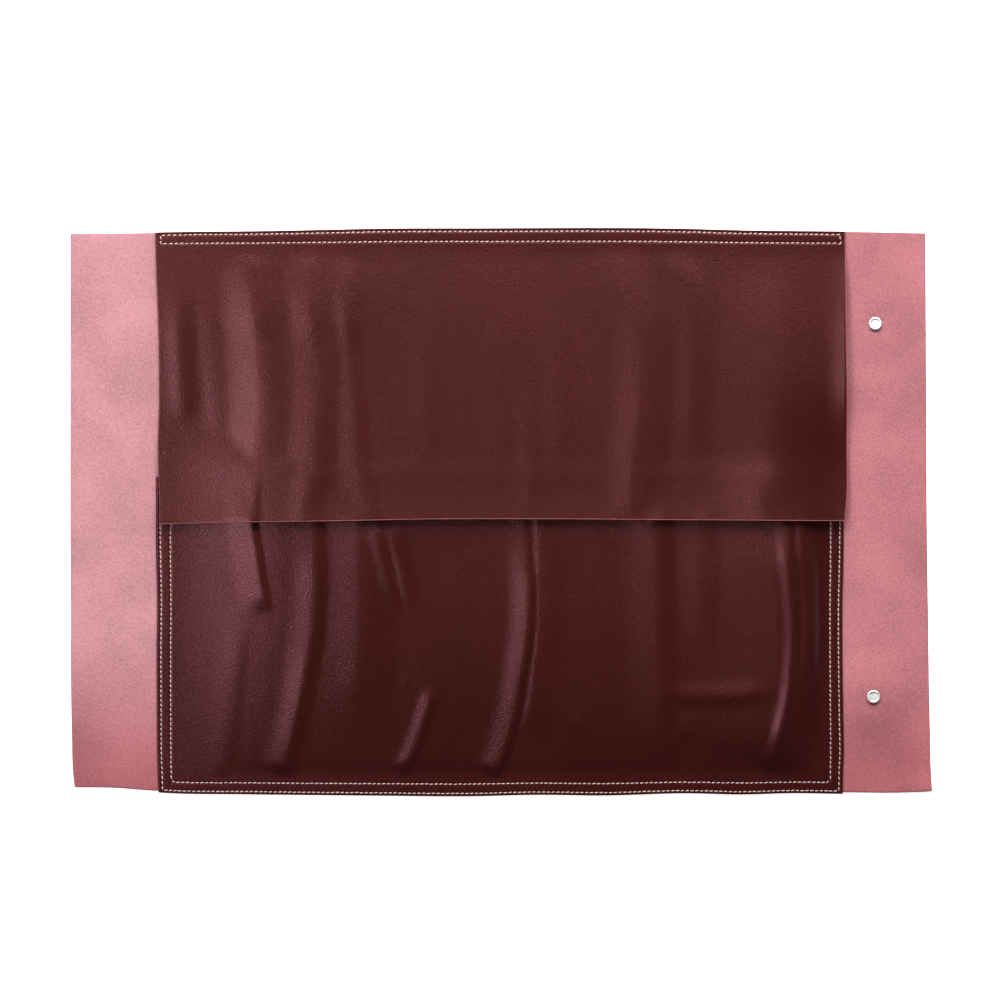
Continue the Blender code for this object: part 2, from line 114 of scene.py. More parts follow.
flapFrontLine = (
    (0.00, -0.70), (0.12, -0.30), (0.27, 0.00), (0.38, 0.30), (0.50, 0.40), (0.75, 0.20), (1.00, 0.00),
)
straight = ((0.0, 0.0), (1.0, 0.0))

# Folds: the crest's path from its low end up, in shares of the sheet's width and depth from its
# lower left corner, the left and right flanks and the height in shares of the fold sizes, and
# the shares of the path over which the low and the high end fade
pocketFolds = {
    "firstCrest": (
        ((0.1614, 0.560), (0.1511, 0.658), (0.1424, 0.785), (0.1366, 0.854), (0.1284, 1.06)),
        1.70, 0.42, 0.74, 0.16, 0.20,
    ),
    "secondCrest": (
        ((0.1814, 0.045), (0.1925, 0.136), (0.2070, 0.263), (0.2172, 0.389), (0.2269, 0.516),
         (0.2302, 0.658), (0.2292, 0.785), (0.2284, 1.05)),
        1.70, 0.85, 0.98, 0.05, 0.27,
    ),
    "secondCrestFoot": (
        ((0.181, 0.06), (0.1975, 0.20), (0.2120, 0.34), (0.2230, 0.48)),
        1.00, 0.50, 0.30, 0.20, 0.40,
    ),
    "lowLeftCrest": (
        ((0.0888, 0.045), (0.0980, 0.136), (0.1067, 0.263), (0.1125, 0.389), (0.1231, 0.516),
         (0.1331, 0.62)),
        1.50, 0.90, 0.20, 0.03, 0.45,
    ),
    "faintLeftCrest": (
        ((0.2815, 0.12), (0.2915, 0.40), (0.2955, 0.70), (0.2915, 1.00)),
        2.60, 2.80, 1.00, 0.30, 0.25,
    ),
    "pinchCrest": (
        ((0.3576, 0.532), (0.3401, 0.658), (0.3255, 0.785), (0.3139, 0.850)),
        0.80, 0.34, 0.66, 0.40, 0.25,
    ),
    "pinchEcho": (
        ((0.3736, 0.541), (0.3605, 0.658), (0.3474, 0.785), (0.3370, 0.850)),
        0.60, 0.90, 0.50, 0.40, 0.25,
    ),
    "shortCrest": (
        ((0.3505, 0.045), (0.3738, 0.136), (0.3941, 0.263), (0.4031, 0.345)),
        0.90, 0.48, 0.84, 0.16, 0.30,
    ),
    "middleCrest": (
        ((0.4865, 0.045), (0.5059, 0.136), (0.5209, 0.263), (0.5311, 0.389), (0.5394, 0.516),
         (0.5407, 0.658), (0.5355, 0.785), (0.5342, 1.05)),
        1.45, 0.42, 1.24, 0.04, 0.38,
    ),
    "middleEcho": (
        ((0.530, 0.16), (0.544, 0.263), (0.5513, 0.389), (0.557, 0.55), (0.557, 1.05)),
        0.55, 1.80, 0.48, 0.25, 0.20,
    ),
    "faintMiddleCrest": (
        ((0.7271, 0.05), (0.7291, 0.35), (0.7271, 0.65), (0.7191, 1.05)),
        2.40, 1.30, 0.85, 0.20, 0.20,
    ),
    "faintRightCrest": (((0.792, 0.42), (0.790, 0.65), (0.788, 1.00)), 1.60, 1.30, 0.34, 0.25, 0.20),
    "rightCrest": (
        ((0.8855, 0.054), (0.8989, 0.136), (0.9144, 0.263), (0.9221, 0.389), (0.9260, 0.516),
         (0.9215, 0.658), (0.9155, 0.785), (0.9095, 1.05)),
        0.75, 0.42, 0.85, 0.10, 0.20,
    ),
    "rightRise": (
        ((0.890, 0.054), (0.900, 0.136), (0.916, 0.263), (0.926, 0.389), (0.9285, 0.516),
         (0.924, 0.658), (0.918, 0.785), (0.912, 1.05)),
        7.60, 3.30, 2.95, 0.22, 0.20,
    ),
    "rightCrestLine": (
        ((0.884, 0.06), (0.8978, 0.136), (0.9150, 0.263), (0.9240, 0.389), (0.930, 0.58)),
        0.55, 0.34, 0.22, 0.14, 0.40,
    ),
    "rightEcho": (
        ((0.926, 0.20), (0.9415, 0.389), (0.946, 0.516), (0.9445, 0.658), (0.9385, 0.785),
         (0.935, 1.02)),
        0.45, 1.00, 0.86, 0.30, 0.20,
    ),
    "studBand": (
        ((0.905, 0.322), (0.850, 0.306), (0.790, 0.304), (0.715, 0.318)),
        0.80, 1.10, 0.80, 0.30, 0.30,
    ),
    "studBandFoot": (((0.735, 0.09), (0.760, 0.18), (0.795, 0.28)), 1.20, 0.80, 0.28, 0.40, 0.40),
    "roundBump": (((0.610, 0.195), (0.613, 0.210), (0.616, 0.225)), 0.95, 0.95, 0.30, 0.10, 0.10),
    "faintRoundBump": (((0.366, 0.335), (0.368, 0.345), (0.370, 0.355)), 1.0, 1.0, 0.18, 0.10, 0.10),
}
flapFolds = {
    "sideRoll": (
        ((0.0401, 0.27), (0.0337, 0.50), (0.0311, 0.65), (0.0251, 0.88)),
        1.50, 1.30, 0.62, 0.22, 0.35,
    ),
    "leftCrest": (
        ((0.0894, -0.03), (0.0894, 0.21), (0.0821, 0.384), (0.0764, 0.556), (0.0689, 0.729),
         (0.0554, 0.90)),
        1.40, 1.00, 0.15, 0.15, 0.25,
    ),
    "firstCrest": (
        ((0.1371, -0.08), (0.1376, 0.055), (0.1401, 0.21), (0.1511, 0.384), (0.1481, 0.556),
         (0.1421, 0.729), (0.1211, 1.00)),
        2.10, 2.30, 0.70, 0.10, 0.20,
    ),
    "frontCrest": (((0.1407, -0.08), (0.1412, 0.055), (0.1427, 0.20)), 1.00, 0.50, 0.70, 0.10, 0.60),
    "secondCrest": (
        ((0.2104, -0.06), (0.2159, 0.055), (0.2324, 0.21), (0.2339, 0.384), (0.2361, 0.556),
         (0.2259, 0.729), (0.2149, 0.98)),
        2.00, 1.50, 0.60, 0.10, 0.20,
    ),
    "thirdCrest": (
        ((0.3178, -0.06), (0.3083, 0.055), (0.2928, 0.21), (0.2878, 0.384), (0.2808, 0.556),
         (0.2738, 0.729), (0.2658, 0.98)),
        1.90, 0.95, 0.62, 0.15, 0.20,
    ),
    "firstCrestTop": (((0.1415, 0.60), (0.1375, 0.75), (0.1275, 0.98)), 2.60, 2.00, 0.40, 0.35, 0.25),
    "secondCrestTop": (((0.2328, 0.58), (0.2238, 0.75), (0.2108, 0.96)), 1.60, 1.20, 0.30, 0.35, 0.25),
    "thirdCrestTop": (((0.288, 0.58), (0.281, 0.75), (0.272, 0.92)), 1.30, 0.90, 0.32, 0.35, 0.30),
    "faintCrest": (((0.389, 0.10), (0.391, 0.40), (0.387, 0.90)), 1.30, 1.30, 0.18, 0.30, 0.30),
    "faintCrestTwo": (((0.490, 0.08), (0.492, 0.35), (0.488, 0.80)), 1.30, 1.30, 0.14, 0.30, 0.30),
    "middleCrest": (((0.545, -0.05), (0.541, 0.20), (0.534, 0.48)), 1.20, 1.10, 0.24, 0.20, 0.40),
    "faintCrestThree": (((0.582, 0.10), (0.584, 0.45), (0.580, 0.85)), 1.30, 1.30, 0.16, 0.30, 0.30),
    "rightCrest": (
        ((0.6894, -0.06), (0.6924, 0.20), (0.7044, 0.44), (0.7004, 0.66), (0.6734, 0.83),
         (0.6214, 0.97)),
        2.00, 2.50, 0.84, 0.12, 0.45,
    ),
    "rightEcho": (
        ((0.774, 0.16), (0.778, 0.45), (0.776, 0.78), (0.734, 0.96)),
        1.35, 1.60, 0.42, 0.30, 0.30,
    ),
    "plateauEdge": (
        ((0.930, -0.08), (0.925, 0.10), (0.905, 0.35), (0.893, 0.55), (0.885, 0.75), (0.872, 0.90)),
        5.00, 3.40, 1.70, 0.05, 0.50,
    ),
    "cornerPatch": (
        ((0.890, -0.06), (0.880, 0.05), (0.870, 0.16), (0.862, 0.26)),
        4.60, 2.40, 1.70, 0.05, 0.60,
    ),
    "sideCrest": (((0.965, 0.10), (0.958, 0.40), (0.952, 0.80)), 1.00, 0.90, 0.20, 0.30, 0.30),
}


def ease(share):
    share = np.clip(share, 0.0, 1.0)
    return share * share * (3.0 - 2.0 * share)


def smoothLine(stations, values, at):  # a cubic through the stations, level beyond them
    stations, values = np.array(stations), np.array(values)
    slopes = np.gradient(values, stations)
    at = np.clip(at, stations[0], stations[-1])
    cell = np.clip(np.searchsorted(stations, at) - 1, 0, len(stations) - 2)
    span = stations[cell + 1] - stations[cell]
    part = (at - stations[cell]) / span
    fromValue, toValue = values[cell], values[cell + 1]
    fromSlope, toSlope = slopes[cell] * span, slopes[cell + 1] * span
    return (
        fromValue * (1 + 2 * part) * (1 - part) ** 2
        + fromSlope * part * (1 - part) ** 2
        + toValue * part ** 2 * (3 - 2 * part)
        + toSlope * part ** 2 * (part - 1)
    )


# How every fold is shaped
folding = {
    "stepsPerPoint": 8,
    "crestRound": 0.0016,
    "pinchShare": 0.60,  # how much of the pinched form the left flanks take
}


def foldHeight(fold, x, y, lowerEdge, depth):
    path, left, right, height, lowFade, highFade = fold
    stations = np.linspace(0.0, 1.0, len(path))
    steps = folding["stepsPerPoint"] * (len(path) - 1)
    shares = np.linspace(0.0, 1.0, steps + 1)
    crestX = -halfPocket + roll["pocketWidth"] * smoothLine(stations, [p[0] for p in path], shares)
    crestY = lowerEdge + depth * smoothLine(stations, [p[1] for p in path], shares)
    widest = max(left, right) * roll["foldSpread"]
    near = (
        (x > crestX.min() - widest) & (x < crestX.max() + widest)
        & (y > crestY.min() - widest) & (y < crestY.max() + widest)
    )
    px, py = x[near], y[near]
    nearest = np.full(px.shape, np.inf)
    side = np.zeros(px.shape)
    reached = np.zeros(px.shape)
    for step in range(steps):
        runX, runY = crestX[step + 1] - crestX[step], crestY[step + 1] - crestY[step]
        fromX, fromY = px - crestX[step], py - crestY[step]
        part = np.clip((fromX * runX + fromY * runY) / (runX ** 2 + runY ** 2), 0.0, 1.0)
        distance = np.hypot(fromX - part * runX, fromY - part * runY)
        closer = distance < nearest
        nearest = np.where(closer, distance, nearest)
        side = np.where(closer, fromX * runY - fromY * runX, side)
        reached = np.where(closer, (step + part) / steps, reached)
    spread = np.where(side < 0, left, right) * roll["foldSpread"]
    crestRound = folding["crestRound"]
    away = np.clip((np.hypot(nearest, crestRound) - crestRound) / spread, 0.0, 1.0)
    swell = 0.5 + 0.5 * np.cos(math.pi * away)
    pinch = (1.0 - away) ** 2  # steepest at the crest, as where leather is pressed into a fold
    flank = np.where(side < 0, swell + folding["pinchShare"] * (pinch - swell), swell)
    ends = ease(reached / lowFade) * ease((1 - reached) / highFade)
    total = np.zeros(x.shape)
    total[near] = height * roll["foldHeight"] * flank * ends
    return total


def foldsOver(table, x, y, lowerEdge, depth):
    return sum(foldHeight(fold, x, y, lowerEdge, depth) for fold in table.values())


# How the sheets stand off each other: heights, and the reach over which each one fades
lie = {
    "pocketBillow": 0.0068,
    "flapRise": 0.0092,
    "flapSlope": (1.0, 0.55),
    "flapSlopeReach": 0.0750,
    "flapSlopePower": 1.5,
    "flapStart": 0.0080,
    "frontCurl": 0.0036,
    "frontCurlReach": 0.0560,
    "pressedFolds": 0.75,
    "pressedReach": 0.0240,
    "leftReach": 0.1000,
    "rightReach": 0.0450,
    "flapLeftStart": 0.0190,
    "flapLeftReach": 0.1050,
    "flapRightReach": 0.0700,
    "flapRightFall": (0.15, 0.60),  # by the seam, and what is added near the mouth
    "settleStart": 0.1000,
    "settleReach": 0.0800,
    "bottomReach": 0.1500,
    "bottomPower": 2.4,
    "creaseReach": 0.0140,
    "footReach": 0.0070,
    "drapeStart": 0.0020,
    "drapeReach": 0.0550,
    "meetWidth": 0.0008,
    "sideLift": 0.0030,
    "sideLiftReach": 0.0200,
    "sideLiftFade": 0.0600,
    "cornerCurl": 0.0060,
    "cornerReach": 0.0320,
    "seatRadius": 0.0125,
    "snapReach": 0.0420,
    "studReach": 0.0500,
    "dishDepth": 0.00045,
    "dishFloor": 0.0048,
    "dishReach": 0.0085,
    "flangeThick": 0.0008,  # of the hidden studs, over the leather
}
snapRise = socketLow.z - roll["gap"] - roll["backThick"]
studRise = studHigh.z - lie["flangeThick"] - roll["gap"] - roll["backThick"]


def seatOver(x, y, seatX, seatY, reach, nearReach):  # nearReach holds on the seat's left
    runX, runY = x - seatX, y - seatY
    radius = np.hypot(runX, runY)
    leftward = np.clip(-runX / np.maximum(radius, roll["gap"]), 0.0, 1.0) ** 2
    end = reach + (nearReach - reach) * leftward
    return 1.0 - ease((radius - lie["seatRadius"]) / (end - lie["seatRadius"]))


def backUnder(x, y):
    height = np.zeros(x.shape)
    for placeY, shift in snapPlaces.values():
        placeX = snapX + shift
        overCap = seatOver(x, y, placeX, placeY, lie["snapReach"], placeX - halfPocket)
        overStud = seatOver(x, y, studX + shift, placeY, lie["studReach"], lie["studReach"])
        height = np.maximum(height, np.maximum(snapRise * overCap, studRise * overStud))
    fromCorner = np.hypot(halfWidth - x, y + rollTop)
    curl = lie["cornerCurl"] * np.clip(1.0 - fromCorner / lie["cornerReach"], 0.0, 1.0) ** 2
    return height + curl


def backOver(x, y):
    dish = np.zeros(x.shape)
    dishRim = lie["dishReach"] - lie["dishFloor"]
    for placeY, shift in snapPlaces.values():
        radius = np.hypot(x - snapX - shift, y - placeY)
        dish += lie["dishDepth"] * (1.0 - ease((radius - lie["dishFloor"]) / dishRim))
    return backUnder(x, y) + roll["backThick"] - dish


def pocketBillow(x):
    side = halfPocket - roll["seamWidth"]
    return ease((side + x) / lie["leftReach"]) * ease((side - x) / lie["rightReach"])


def pocketUnder(x, y):
    fromSide = halfPocket - roll["seamWidth"] - np.abs(x)
    fromBottom = y - pocketBottom - roll["seamWidth"]
    risen = 1.0 - np.clip(1.0 - fromBottom / lie["bottomReach"], 0.0, 1.0) ** lie["bottomPower"]
    billow = pocketBillow(x) * risen * ease(fromBottom / lie["creaseReach"])
    creases = foldsOver(pocketFolds, x, y, pocketBottom, roll["pocketDepth"])
    creases = creases * ease(fromSide / lie["creaseReach"]) * ease(fromBottom / lie["footReach"])
    creases = creases * (1.0 - lie["pressedFolds"] * ease((y - flapFront) / lie["pressedReach"]))
    return roll["backThick"] + roll["gap"] + billow * lie["pocketBillow"] + creases


def pocketOver(x, y):
    return pocketUnder(x, y) + roll["panelThick"]


# The flap's rise from its seam to the pocket's mouth, steepest just below the seam
riseLength = rollTop - roll["seamWidth"] - pocketMouth
riseAt = np.linspace(0.0, riseLength, 200)
riseFade = np.clip(1.0 - riseAt / lie["flapSlopeReach"], 0.0, 1.0) ** lie["flapSlopePower"]
riseSlope = ease(riseAt / lie["flapStart"]) * (lie["flapSlope"][0] + lie["flapSlope"][1] * riseFade)
riseShare = np.cumsum(riseSlope) / riseSlope.sum()


def flapUnder(x, y):
    fromSeam = rollTop - roll["seamWidth"] - y
    fromRight = halfPocket - x
    # Near the mouth the flap's right side follows the pocket down
    settled = ease((fromSeam - lie["settleStart"]) / lie["settleReach"])
    fall = lie["flapRightFall"][0] + lie["flapRightFall"][1] * settled
    sideBillow = ease((halfPocket + x - lie["flapLeftStart"]) / lie["flapLeftReach"])
    sideBillow = sideBillow * (1.0 - fall * (1.0 - ease(fromRight / lie["flapRightReach"])))
    ramp = np.interp(fromSeam, riseAt, riseShare)
    creases = foldsOver(flapFolds, x, y, flapFront, roll["flapDepth"])
    creases = creases * ease(fromSeam / lie["creaseReach"])
    edgeLift = lie["sideLift"] * np.clip(1.0 - fromRight / lie["sideLiftReach"], 0.0, 1.0) ** 2
    edgeLift = edgeLift * ease(fromSeam / lie["sideLiftFade"]) * (1.0 - settled)
    base = roll["backThick"] + roll["gap"]
    free = np.maximum(base + ramp * sideBillow * lie["flapRise"] + creases + edgeLift, base)
    aboveMouth = ease((y - pocketMouth - lie["drapeStart"]) / lie["drapeReach"])
    overPocket = pocketOver(x, np.minimum(y, pocketMouth)) + roll["drapeGap"]
    overPocket = overPocket + (base - overPocket) * aboveMouth
    soft = lie["meetWidth"]
    meet = np.clip(0.5 + 0.5 * (overPocket - free) / soft, 0.0, 1.0)
    resting = free * (1 - meet) + overPocket * meet + soft * meet * (1 - meet)
    curl = lie["frontCurl"] * np.clip(1.0 - (y - flapFront) / lie["frontCurlReach"], 0.0, 1.0) ** 2
    return resting + curl


def flapOver(x, y):
    return flapUnder(x, y) + roll["panelThick"]


# Plan positions: each edge pulls what lies near it. A column is the place of a wander in its table
def edgePull(near, table, at, column):
    stations = [row[0] for row in table]
    values = [row[column] for row in table]
    return roll["wander"] * smoothLine(stations, values, at) * (1.0 - ease(near / roll["wanderFade"]))


# The wander of the lower and the upper edge comes with half the width that its shares run over
plans = {
    "back": {
        "x": (-halfWidth, halfWidth), "y": (-rollTop, rollTop), "sides": backSides,
        "lower": (backBottom, halfWidth), "upper": (backTop, halfWidth),
    },
    "pocket": {
        "x": (-halfPocket, halfPocket), "y": (pocketBottom, pocketMouth), "sides": pocketSides,
        "lower": (backBottom, halfWidth), "upper": (straight, halfWidth),
    },
    "flap": {
        "x": (-halfPocket, halfPocket), "y": (flapFront, rollTop), "sides": flapSides,
        "lower": (flapFrontLine, halfPocket), "upper": (backTop, halfWidth),
    },
}


def planPoints(plan, x, y):
    left, right = plan["x"]
    low, high = plan["y"]
    up = (y - low) / (high - low)
    planX = x + edgePull(x - left, plan["sides"], up, 1) + edgePull(right - x, plan["sides"], up, 2)
    planY = y
    for near, (table, reach) in ((y - low, plan["lower"]), (high - y, plan["upper"])):
        planY = planY + edgePull(near, table, (x + reach) / (2 * reach), 1)
    return planX, planY


# Cut edges: grid lines next to them, how far the leather rounds off and over what reach
brink = {
    "near": 0.00025,
    "far": 0.0006,
    "inner": 0.0011,
    "drop": 0.00045,
    "reach": 0.0009,
    "underShare": 0.6,
}


def gridLines(start, end, step, zones):  # zones have a step of their own: from, to, step
    lines = [start, start + brink["near"], start + brink["far"]]
    at = start + brink["inner"]
    for low, high, fine in (*zones, (end - brink["inner"], end - brink["inner"], step)):
        low = max(low, at)
        if low > at:
            lines += list(np.linspace(at, low, math.ceil((low - at) / step) + 1)[:-1])
        if high > low:
            lines += list(np.linspace(low, high, math.ceil((high - low) / fine) + 1)[:-1])
        at = max(low, high)
    return np.array(lines + [end - brink["inner"], end - brink["far"], end - brink["near"], end])


def buildSheet(name, plan, under, over, columns, rows, groove, settings):
    gridX, gridY = np.meshgrid(columns, rows)
    planX, planY = planPoints(plan, gridX, gridY)
    fromEdge = np.minimum.reduce([
        gridX - columns[0], columns[-1] - gridX, gridY - rows[0], rows[-1] - gridY,
    ])
    rounded = settings["roundOff"] * brink["drop"] * np.clip(1.0 - fromEdge / brink["reach"], 0.0, 1.0) ** 2
    lower = under(planX, planY) + brink["underShare"] * rounded
    upper = over(planX, planY) - rounded
    if settings["grooved"] == "top":
        upper = upper - groove(gridX, gridY)
    else:
        lower = lower + groove(gridX, gridY)
    rowCount, columnCount = gridX.shape
    count = rowCount * columnCount
    points = np.concatenate([
        np.stack([planX + frameShift[0], planY + frameShift[1], lower], axis=-1).reshape(-1, 3),
        np.stack([planX + frameShift[0], planY + frameShift[1], upper], axis=-1).reshape(-1, 3),
    ])
    index = np.arange(count).reshape(rowCount, columnCount)
    a, b, c, d = index[:-1, :-1], index[:-1, 1:], index[1:, 1:], index[1:, :-1]
    topFaces = np.stack([a, b, c, d], axis=-1).reshape(-1, 4) + count
    underFaces = np.stack([a, d, c, b], axis=-1).reshape(-1, 4)
    rim = np.concatenate([index[0, :], index[1:, -1], index[-1, -2::-1], index[-2:0:-1, 0]])
    nextRim = np.roll(rim, -1)
    rimFaces = np.stack([rim, nextRim, nextRim + count, rim + count], axis=-1)
    faces = np.concatenate([topFaces, underFaces, rimFaces])
    mesh = bpy.data.meshes.new(name)
    mesh.from_pydata(points.tolist(), [], faces.tolist())
    bare = (  # strips of the top along the front and the right edge where the cut's fibres show
        (gridY[:-1, :-1] - rows[0] < settings["bareFront"])
        | (columns[-1] - gridX[:-1, 1:] < settings["bareRight"])
    )
    slots = np.concatenate([
        2 * bare.astype(int).reshape(-1), np.ones(len(underFaces), int), np.full(len(rimFaces), 2),
    ])
    mesh.polygons.foreach_set("material_index", slots)
    mesh.polygons.foreach_set("use_smooth", np.ones(len(faces), bool))
    mesh.update()
    sheet = bpy.data.objects.new(name, mesh)
    bpy.context.collection.objects.link(sheet)
    return sheet


# Stitch rows: their distances from the cut edges, in metres
seams = {
    "pocketOuter": {"left": 0.0034, "right": 0.0032, "low": 0.0022, "corner": 0.0015},
    "pocketInner": {"left": 0.0110, "right": 0.0104, "low": 0.0084, "corner": 0.0036},
    "flapEnds": 0.0041,
    "flapOuter": 0.00265,
    "flapInner": 0.0095,
    "grooveDepth": 0.00028,
    "grooveReach": 0.0013,
    "mouthStart": 0.0015,
    "cornerPoints": 5,
    "pocketPitch": 0.00383,
    "flapPitch": 0.00408,
}


def grooveAt(inset):
    return seams["grooveDepth"] * ease(1.0 - np.abs(inset) / seams["grooveReach"])


def pocketGroove(x, y):  # x and y as they were before the edges' wander
    total = np.zeros(x.shape)
    for row in (seams["pocketOuter"], seams["pocketInner"]):
        inset = np.minimum.reduce([
            x + halfPocket - row["left"], halfPocket - row["right"] - x, y - pocketBottom - row["low"],
        ])
        total = np.maximum(total, grooveAt(inset))
    return total


def flapGroove(x, y):
    inset = np.minimum.reduce([
        halfPocket - seams["flapEnds"] - np.abs(x),
        rollTop - seams["flapOuter"] - y,
        y - rollTop + seams["flapInner"],
    ])
    return grooveAt(inset)


def backGroove(x, y):
    return np.maximum(pocketGroove(x, y) * (y < pocketMouth), flapGroove(x, y))


def roundCorner(fromPoint, corner, toPoint, radius):
    inward = (np.array(fromPoint) - corner) / np.linalg.norm(np.array(fromPoint) - corner)
    outward = (np.array(toPoint) - corner) / np.linalg.norm(np.array(toPoint) - corner)
    centre = np.array(corner) + radius * (inward + outward)
    turns = np.linspace(0.0, math.pi / 2, seams["cornerPoints"])
    return [tuple(centre - radius * (math.cos(turn) * outward + math.sin(turn) * inward)) for turn in turns]


def pocketRow(row):  # down the left side, along the bottom and up the right side
    left, right = -halfPocket + row["left"], halfPocket - row["right"]
    low, mouth = pocketBottom + row["low"], pocketMouth - seams["mouthStart"]
    lowLeft, lowRight = np.array((left, low)), np.array((right, low))
    return (
        [(left, mouth)]
        + roundCorner((left, mouth), lowLeft, (right, low), row["corner"])
        + roundCorner((left, low), lowRight, (right, mouth), row["corner"])
        + [(right, mouth)]
    )


def flapRow():  # a closed box along the seam
    side = halfPocket - seams["flapEnds"]
    outer, inner = rollTop - seams["flapOuter"], rollTop - seams["flapInner"]
    return [(-side, outer), (side, outer), (side, inner), (-side, inner), (-side, outer)]


def alongRow(points, step):  # evenly spaced places on a path, with the direction at each
    points = np.array(points)
    lengths = np.hypot(*np.diff(points, axis=0).T)
    travelled = np.concatenate([[0.0], np.cumsum(lengths)])
    count = max(2, int(round(travelled[-1] / step)))
    at = (np.arange(count) + 0.5) * travelled[-1] / count
    x = np.interp(at, travelled, points[:, 0])
    y = np.interp(at, travelled, points[:, 1])
    ahead, behind = np.minimum(at + step / 3, travelled[-1]), np.maximum(at - step / 3, 0.0)
    runX = np.interp(ahead, travelled, points[:, 0]) - np.interp(behind, travelled, points[:, 0])
    runY = np.interp(ahead, travelled, points[:, 1]) - np.interp(behind, travelled, points[:, 1])
    return x, y, runX, runY


# One stitch: places along its length in shares, ring radii and heights in shares of its thickness
stitch = {
    "length": 0.00285,
    "thick": 0.00076,
    "sides": 6,
    "rings": ((-0.50, 0.55, -0.80), (-0.40, 0.92, -0.12), (-0.16, 1.0, 0.20),
              (0.16, 1.0, 0.20), (0.40, 0.92, -0.12), (0.50, 0.55, -0.80)),
    "slant": 8.0,  # degrees off the row's line
    "sink": 0.00020,
    "underSink": 0.00052,  # keeps the rows on the underside off the table
    "turnWobble": 2.2,  # degrees
    "lengthWobble": 0.05,
    "sideWobble": 0.00006,
    "sinkWobble": 0.00002,
}


def modelStitch():
    bpy.ops.object.select_all(action="DESELECT")
    radius = stitch["thick"] / 2
    start, size, height = stitch["rings"][0]
    bpy.ops.mesh.primitive_circle_add(
        vertices=stitch["sides"], radius=size * radius, fill_type="NGON",
        location=(start * stitch["length"], 0.0, height * radius), rotation=(0.0, math.pi / 2, 0.0),
    )
    master = bpy.context.object
    master.name = "stitchMaster"
    bpy.ops.object.transform_apply(location=True, rotation=True, scale=True)
    bpy.ops.object.mode_set(mode="EDIT")
    bpy.ops.mesh.select_all(action="SELECT")
    for (at, wide, up), (nextAt, nextWide, nextUp) in zip(stitch["rings"], stitch["rings"][1:]):
        step = ((nextAt - at) * stitch["length"], 0.0, (nextUp - up) * radius)
        bpy.ops.mesh.extrude_region_move(TRANSFORM_OT_translate={"value": step})
        middle = (nextAt * stitch["length"], 0.0, nextUp * radius)
        grow = nextWide / wide
        bpy.ops.transform.resize(value=(grow, grow, grow), center_override=middle)
    bpy.ops.mesh.select_all(action="SELECT")
    bpy.ops.mesh.normals_make_consistent(inside=False)
    bpy.ops.object.mode_set(mode="OBJECT")
    points = np.array([vertex.co for vertex in master.data.vertices])
    faces = [tuple(polygon.vertices) for polygon in master.data.polygons]
    bpy.data.objects.remove(master, do_unlink=True)
    return points, faces


def sewRow(name, plan, path, pitch, height, facing):  # facing -1 sews on the underside
    x, y, runX, runY = alongRow(path, pitch)
    planX, planY = planPoints(plan, x, y)
    aheadX, aheadY = planPoints(plan, x + runX * 0.5, y + runY * 0.5)
    turn = np.arctan2(aheadY - planY, aheadX - planX) + math.radians(stitch["slant"])
    wobble = np.random.default_rng(len(name)).normal(0.0, 1.0, (4, len(x)))
    turn = turn + math.radians(stitch["turnWobble"]) * wobble[0]
    lengths = 1.0 + stitch["lengthWobble"] * wobble[1]
    side = stitch["sideWobble"] * wobble[2]
    sink = stitch["sink"] if facing > 0 else stitch["underSink"]
    base = height(planX, planY) - facing * (sink + stitch["sinkWobble"] * np.abs(wobble[3]))
    points, faces = modelStitch()
    cosine, sine = np.cos(turn)[:, None], np.sin(turn)[:, None]
    localX = points[:, 0] * lengths[:, None]
    localY = points[:, 1] + side[:, None]
    localZ = points[:, 2]
    placed = np.stack([
        planX[:, None] + frameShift[0] + localX * cosine - localY * sine * facing,
        planY[:, None] + frameShift[1] + localX * sine + localY * cosine * facing,
        base[:, None] + facing * np.broadcast_to(localZ, localX.shape),
    ], axis=-1).reshape(-1, 3)
    allFaces = [
        [corner + index * len(points) for corner in face]
        for index in range(len(x)) for face in faces
    ]
    mesh = bpy.data.meshes.new(name)
    mesh.from_pydata(placed.tolist(), [], allFaces)
    mesh.polygons.foreach_set("use_smooth", np.ones(len(allFaces), bool))
    mesh.update()
    row = bpy.data.objects.new(name, mesh)
    bpy.context.collection.objects.link(row)
    return row


# Press studs: radius and height in millimetres, from each piece's own axis and lowest point
snapShapes = {
    "sides": 48,
    "smoothBelow": 40.0,  # degrees
    "socket": (
        (2.0, 0.0), (4.75, 0.0), (5.12, 0.25), (5.25, 0.75), (5.22, 1.25), (5.0, 1.68), (4.62, 1.93),
        (4.25, 1.98), (3.92, 1.86), (3.72, 1.62), (3.66, 1.42), (3.62, 1.22), (2.9, 1.14), (2.0, 1.12),
    ),
    "cap": (
        (0.04, 0.0), (1.6, 0.03), (3.2, 0.14), (4.6, 0.42), (5.6, 0.86), (6.1, 1.30), (6.25, 1.62),
        (6.10, 1.84), (5.7, 1.90), (1.7, 1.90), (1.7, 5.2), (2.25, 5.2), (2.4, 5.35), (2.3, 5.52),
        (1.5, 5.6), (0.7, 5.45), (0.04, 5.40),
    ),
    "stud": (
        (0.04, 0.0), (0.9, 0.02), (1.5, 0.16), (1.9, 0.5), (2.0, 0.85), (1.92, 1.3), (1.72, 1.8),
        (1.85, 2.15), (4.2, 2.2), (4.5, 2.45), (4.5, 3.0), (4.2, 3.2), (1.7, 3.2), (1.7, 5.6),
        (5.2, 5.6), (5.5, 5.75), (5.5, 6.0), (4.9, 6.3), (3.0, 6.4), (0.04, 6.4),
    ),
}


